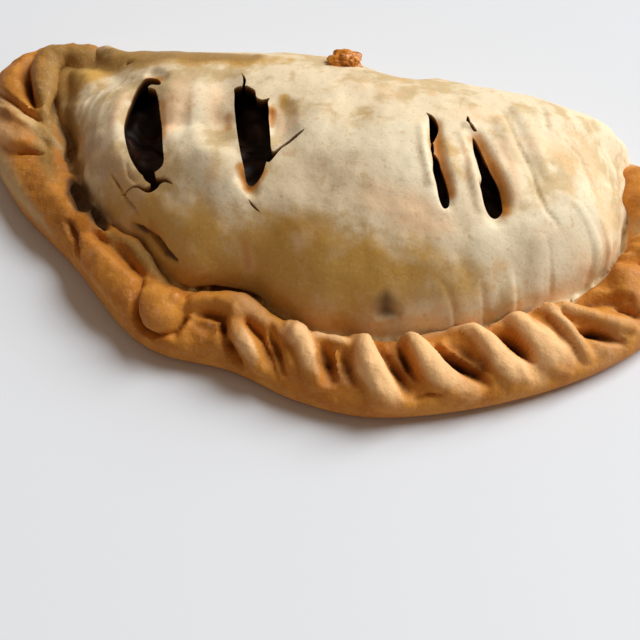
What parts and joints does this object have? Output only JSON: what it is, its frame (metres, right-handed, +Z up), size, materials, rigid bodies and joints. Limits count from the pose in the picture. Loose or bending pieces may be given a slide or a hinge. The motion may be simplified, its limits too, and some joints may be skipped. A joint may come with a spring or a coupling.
{
  "type": "calzone",
  "caption": "Baked half-moon calzone with a crimped rope edge, torn vents that show a dark filling, and a blister of leaked cheese.",
  "frame": {"origin": "centre of the flat base, on the surface that the calzone lies on", "axes": "+Z up, +X along the length towards the end whose plain folds climb the dome, +Y towards the plain fold at the back"},
  "size_m": [0.2101, 0.1101, 0.0447],
  "materials": {
    "baked_dough": "baked bread crust: matt, pale cream on the dome, golden brown on the crimped edge, finely blistered",
    "dark_filling": "cooked filling in dark sauce: lumpy, moist, nearly black in the shade of the dough",
    "browned_cheese": "melted cheese and sauce, baked orange-brown, slightly greasy"
  },
  "bodies": {
    "root": {"crust": "baked_dough", "filling": "dark_filling", "leaked_cheese": "browned_cheese"}
  },
  "joints": []
}
